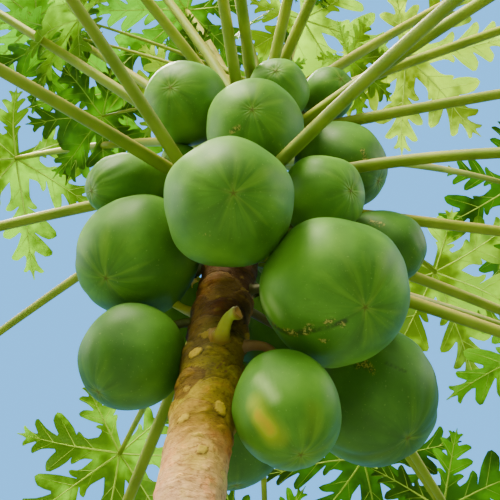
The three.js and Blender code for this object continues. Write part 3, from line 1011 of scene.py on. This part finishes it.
def blade_mesh(outline, veins, radius):
    """Triangles that fill a blade's outline, with points inside it and along its veins."""
    edge = np.array(outline) * radius
    step = MESH_STEP * max(0.5, radius / FULL_RADIUS)
    inner = []
    for start, end, _ in veins:
        steps = max(2, int(np.linalg.norm(end - start) * radius / step))
        inner += [mix(start, end, (k + 0.5) / steps) * radius for k in range(steps)]
    reach = np.arange(-radius, radius, step)
    grid = np.array([(x + (row % 2) * step / 2, y) for row, y in enumerate(reach * 0.87) for x in reach])
    near = np.min(np.linalg.norm(grid[:, None] - np.vstack([edge, inner])[None], axis=2), axis=1)
    points = [Vector(p) for p in np.vstack([edge, inner, grid[near > 0.55 * step]])]
    ring = [(i, (i + 1) % len(edge)) for i in range(len(edge))]
    made = delaunay_2d_cdt(points, ring, [], 1, 1e-4)
    flat, faces = np.array([tuple(p) for p in made[0]]), [list(face) for face in made[2]]
    used = sorted({index for face in faces for index in face})
    renumber = {old: new for new, old in enumerate(used)}
    return flat[used], [[renumber[index] for index in face] for face in faces]


def point_normals(points, faces):
    """Unit normals of a surface of triangles at its points."""
    corners = points[faces]
    turns = np.cross(corners[:, 1] - corners[:, 0], corners[:, 2] - corners[:, 0])
    normals = np.zeros_like(points)
    for corner in range(3):
        np.add.at(normals, faces[:, corner], turns)
    return normals / np.linalg.norm(normals, axis=1)[:, None]


def open_edges(faces):
    """Edges that only one face has, as pairs of points."""
    edges = {}
    for face in faces:
        for a, b in zip(face, face[1:] + face[:1]):
            if edges.pop((b, a), None) is None:
                edges[a, b] = True
    return list(edges)


class Blade:
    """One blade: its place, and the height of its surface over its own plane."""

    def __init__(self, number, hub, way, radius, pitch):
        self.number, self.hub, self.radius = number, hub, radius
        self.forward = outward(way + BLADE_TURN * vary(number, 1), -pitch)
        self.side = turned(outward(way + BLADE_TURN * vary(number, 1) + 90), self.forward,
                           BLADE_TWIST * vary(number, 2))
        self.up = np.cross(self.forward, self.side)
        self.outline, self.veins = blade_outline(number)

    def rise(self, flat):
        """Height of the surface at points of its plane: droop, a fold at each vein, and slow waves."""
        distance = np.linalg.norm(flat, axis=1)
        gaps = np.full((len(self.veins), len(flat)), np.inf)
        for row, (start, end, _) in zip(gaps, self.veins):
            start, span = start * self.radius, (end - start) * self.radius
            share = np.clip((flat - start) @ span / (span @ span), 0, 1)
            row[:] = np.linalg.norm(flat - start - share[:, None] * span, axis=1)
        ribs = [i for i, vein in enumerate(self.veins) if vein[2] == 1]
        to_rib, to_vein = gaps[ribs].min(axis=0), gaps.min(axis=0)
        size = self.radius / FULL_RADIUS
        rise = -BLADE_DROOP * distance**2 / self.radius
        rise += size * (8 * (1 - np.exp(-to_rib / (18 * size))) - 0.0016 * (to_rib / size)**2)
        rise += size * 2.6 * (1 - np.exp(-to_vein / (7 * size)))
        for i, (x, y) in enumerate(flat / self.radius):
            wave = noise.noise(Vector((x * 1.8, y * 1.8, self.number * 3.7)))
            rise[i] += BLADE_WAVE * size * wave * math.hypot(x, y)
        return rise

    def place(self, flat):
        """Points of its plane, put where the surface is. The lobes stray a little in the plane."""
        rise = self.rise(flat)
        strayed = flat.copy()
        for i, (x, y) in enumerate(flat / self.radius):
            wave = noise.noise_vector(Vector((x * 1.3, y * 1.3, self.number * 5.1)))
            strayed[i] += np.array([wave.x, wave.y]) * BLADE_WARP * self.radius * math.hypot(x, y)
        return self.hub + strayed[:, :1] * self.forward + strayed[:, 1:] * self.side + rise[:, None] * self.up

    def add_sheet(self, shape, upper, lower):
        """The thin closed blade, in one material above and another below."""
        flat, faces = blade_mesh(self.outline, self.veins, self.radius)
        surface = self.place(flat)
        lift = point_normals(surface, np.array(faces)) * BLADE_THICKNESS / 2
        count = len(surface)
        below = [[index + count for index in reversed(face)] for face in faces]
        rim = [[b, a, a + count, b + count] for a, b in open_edges(faces)]
        paints = [upper] * len(faces) + [lower] * (len(below) + len(rim))
        shape.add(np.vstack([surface + lift, surface - lift]), faces + below + rim, paints)

    def add_veins(self, shape):
        """A tapering cord under the blade for each of its ribs and veins."""
        for start, end, thickness in self.veins:
            steps = 9 if thickness == 1 else 4
            flat = np.array([mix(start, end, share) for share in np.linspace(0, 0.97, steps)]) * self.radius
            radii = VEIN_RADIUS * thickness * self.radius / FULL_RADIUS * np.linspace(1, 0.16, steps)
            line = self.place(flat) - self.up * (BLADE_THICKNESS / 2 + 0.35 * radii[:, None])
            shape.add(*tube(line, radii, 5, self.side))


def petiole_form(number, line, foot_radius, tip_radius):
    """A leaf's stalk, faintly ribbed, and the blush on its upper side, partly its own tinge and partly
    painted light.
    """
    share = np.linspace(0, 1, len(line))[:, None]
    form = 0.9 + 0.32 * np.exp(-share / 0.025) + 0.02 * np.cos(6 * ring_ways(STALK_SIDES) + number)
    radii = mix(foot_radius, tip_radius, share) * form
    points, faces = tube(line, radii, STALK_SIDES)
    rings = points.reshape(len(line), STALK_SIDES, 3)
    up = (rings - rings.mean(axis=1, keepdims=True))[..., 2] / radii
    blush = smooth(up, -0.6, 0.7) * smooth(share, 0.02, 0.25) * (0.8 + 0.6 * vary(number, 5))
    return points, faces, blush.ravel()


def add_leaf(number, row, kind, stalks, sheets, veins):
    """Adds a leaf's stalk, blade and veins to the three shapes, and gives the blush on its stalk."""
    foot_radius, tip_radius, rings, blade_least, blade_share = kind
    way, _, _, _, length, pitch = row
    line = leaf_line(row, foot_radius, rings)
    points, faces, blush = petiole_form(number, line, foot_radius, tip_radius)
    stalks.add(points, faces)
    blade = Blade(number, line[-1], way, blade_least + blade_share * length, pitch)
    shade = int((vary(number, 3) + 0.5) * len(LEAF_SHADES))
    blade.add_sheet(sheets, 2 * shade, 2 * shade + 1)
    blade.add_veins(veins)
    return blush


def add_leaves(sheet_paints, vein_paint, petiole_paint):
    """Stalks one by one, blades in two pieces, and all ribs and veins in one."""
    halves, veins = [Shape(), Shape()], Shape()
    nodes = [node_name("leaf", number) for number in range(len(LEAVES))]
    for number, row in enumerate(LEAVES):
        stalk = Shape()
        blush = add_leaf(number, row, GROWN, stalk, halves[number % 2], veins)
        node = nodes[number]
        add_piece(f"{node}_stalk", stalk, [petiole_paint], [node], {"blush": blush})
    add_piece("leaf_blades_a", halves[0], sheet_paints, nodes[::2])
    add_piece("leaf_blades_b", halves[1], sheet_paints, nodes[1::2])
    add_piece("leaf_veins", veins, [vein_paint], nodes)


def add_young_leaves(sheet_paints, vein_paint, petiole_paint):
    """The small leaves round the tip of the trunk, joined by kind."""
    stalks, sheets, veins = Shape(), Shape(), Shape()
    blushes = [add_leaf(number, row, YOUNG, stalks, sheets, veins)
               for number, row in enumerate(YOUNG_LEAVES, len(LEAVES))]
    marks = {"blush": np.concatenate(blushes)}
    add_piece("young_leaf_stalks", stalks, [petiole_paint], ["trunk"], marks)
    add_piece("young_leaf_blades", sheets, sheet_paints, ["trunk"])
    add_piece("young_leaf_veins", veins, [vein_paint], ["trunk"])


def leaf_paint(name, base, through, roughness):
    """A leaf's surface, which lets some light through, with patches that are partly its own tone and partly
    painted shade.
    """
    paint = Paint(name, Roughness=roughness, Specular_IOR_Level=0.22)
    dull = [0.6 * value for value in base]
    patch_through = [0.4 * value for value in through]
    # patches darker in what the leaf reflects and lets through: partly the leaf's own tone, partly painted
    # dappled shade
    tone_and_shade = paint.span(paint.speckle(7, 4, rough=0.6), 0.44, 0.58)
    tint = paint.blend(tone_and_shade, paint.blend(paint.clouds(40), base, dull), dull)
    paint.link(Base_Color=tint, Normal=paint.bump(paint.speckle(420, 2), 0.15, 0.0006))
    glow = paint.node("ShaderNodeBsdfTranslucent", {"Color": paint.blend(tone_and_shade, through, patch_through)})
    mixed = paint.node("ShaderNodeMixShader", {0: 0.6, 1: paint.surface.outputs[0], 2: glow})
    paint.tree.links.new(mixed, paint.tree.nodes["Material Output"].inputs[0])
    return paint.material


def leaf_paints():
    """The upper and the lower side of each shade of leaf."""
    paints = []
    for shade, (top, through) in enumerate(LEAF_SHADES):
        under = [1.2 * value + 0.008 for value in top]
        paints.append(leaf_paint(f"leaf_top_{shade}", top, through, 0.42))
        paints.append(leaf_paint(f"leaf_under_{shade}", under, through, 0.6))
    return paints


# Stubs


def stub_line(row):
    """Line of a stub, from inside the bark to its broken end."""
    way, rise, height, length, foot_radius, _, turn, lift, _ = row
    square = square_out(way, height)
    foot = foot_on(square, height, foot_radius)
    middle = foot + outward(way + 0.35 * turn, rise + 0.35 * lift) * 0.66 * length
    end = middle + outward(way + turn, rise + lift) * 0.36 * length
    root, collar = foot - square * STUB_ROOT, foot + square * 0.3 * foot_radius
    return smooth_line([root, collar, middle, end], STUB_RINGS)


def stub_radii(number, row, share):
    """Radii along and round a stub: a ringed foot, a neck, and a wider end."""
    foot_radius, end_radius, neck = row[4], row[5], row[8]
    rings = 0.07 * np.cos(share * 62) * bell(share, 0.5)
    lumps = 0.08 * np.cos(3 * ring_ways(STUB_SIDES) + 9 * share + number)
    lumps = lumps + 0.06 * np.cos(8 * share + 5 * number)
    form = neck + (1.7 - neck) * np.exp(-(share / 0.4)**1.5) + rings + lumps
    return mix(foot_radius, end_radius, share) * (form + (1 - neck) * smooth(share, 0.72, 0.95))


def add_stub(number, row, stem, end_paint):
    """A short stem, bent a little at its end and broken off at a ragged brown cup."""
    line = stub_line(row)
    share = np.linspace(0, 1, len(line))[:, None]
    points, _ = tube(line, stub_radii(number, row, share), STUB_SIDES)
    along = unit(line[-1] - line[-3])
    points[-STUB_SIDES:] += along * np.array([[1.8 * vary(side, 61 + number)] for side in range(STUB_SIDES)])
    lip = points[-STUB_SIDES:]
    cup = [line[-1] + (lip - line[-1]) * size - along * sink for size, sink in CUP]
    points = np.vstack([points, *cup])
    faces = grid_faces(len(line) + len(CUP), STUB_SIDES)
    stem_faces, cup_faces = (len(line) - 1) * STUB_SIDES, len(CUP) * STUB_SIDES
    paints = [0] * stem_faces + [1] * cup_faces + [0, 1]  # the last two close the root and the cup
    shape = Shape()
    shape.add(points, faces, paints)
    blush = np.zeros(len(points))
    tinge = 1.3 * bell(share, 0.5) + smooth(share, 0.84, 0.97)
    blush[:len(share) * STUB_SIDES] = np.repeat(tinge, STUB_SIDES)
    node = node_name("stub", number)
    add_piece(f"{node}_stem", shape, [stem, end_paint], [node], {"blush": blush})


# Flowers


def petal_tube(number, middle, ahead, size):
    """One curled petal, thin and pointed."""
    across = unit(np.cross(ahead, [0, 0, 1]))
    out = turned(across, ahead, 360 / PETALS * (number % PETALS) + 20 * vary(number, 72))
    curl = 0.55 + 0.5 * vary(number, 73)
    tip = middle + ahead * size * (1.15 - 0.7 * curl) + out * size * curl
    line = bent_line(middle - ahead * 2, middle + ahead * 0.75 * size, tip, 9)
    ways = ring_ways(10)
    width = 0.27 * size * np.sin(np.pi * (0.12 + 0.83 * np.linspace(0, 1, 9)))[:, None]
    radii = width * PETAL_THICKNESS / np.hypot(PETAL_THICKNESS * np.cos(ways), width * np.sin(ways))
    return tube(line, radii, 10, np.cross(ahead, out))


def add_flowers(petal_material, green):
    """Half withered flowers: a short stalk, a round green foot and curled petals."""
    petals, stalks = Shape(), Shape()
    share = np.linspace(0, 1, 10)
    stalk_radii = 2 + 3.2 * smooth(share, 0.6, 0.95) - 2.5 * smooth(share, 0.9, 1)
    for number, (way, height, reach, droop, size) in enumerate(FLOWERS):
        square = square_out(way, height)
        foot = foot_on(square, height, 2)
        middle = trunk_middle(height) + square * reach
        stalks.add(*tube(bent_line(foot, foot + square * 10, middle, 10), stalk_radii, 10))
        ahead = outward(way + 30 * vary(number, 71), -droop)
        for petal in range(PETALS):
            petals.add(*petal_tube(number * PETALS + petal, middle, ahead, size))
    add_piece("flower_petals", petals, [petal_material], ["trunk"])
    add_piece("flower_stalks", stalks, [green], ["trunk"])


def petal_paint():
    paint = Paint("petal", Roughness=0.6, Specular_IOR_Level=0.3)
    base = paint.ramp(paint.speckle(60), 0.35, 0.65, {
        0.0: (0.55, 0.24, 0.03),
        0.5: (0.80, 0.52, 0.08),
        1.0: (0.82, 0.72, 0.22),
    })
    paint.link(Base_Color=base, Normal=paint.bump(paint.speckle(500, 2), 0.3, 0.0005))
    return paint.material


add_trunk(bark_paint())
skin = fruit_paint()
for fruit, fruit_row in enumerate(FRUITS):
    add_fruit(fruit, fruit_row, skin)
stalk_paints = {name: stalk_paint(name, *tints) for name, tints in STALK_PAINTS.items()}
add_fruit_stalks(stalk_paints["fruit_stalk"])
add_stub(0, STUBS[0], stalk_paints["stub_stem"], stalk_paints["stub_end"])
add_stub(1, STUBS[1], stalk_paints["yellow_lit_stem"], stalk_paints["stub_end"])
leaf_materials = [leaf_paints(), stalk_paints["vein"], stalk_paints["petiole"]]
add_leaves(*leaf_materials)
add_young_leaves(*leaf_materials)
add_flowers(petal_paint(), stalk_paints["stub_stem"])
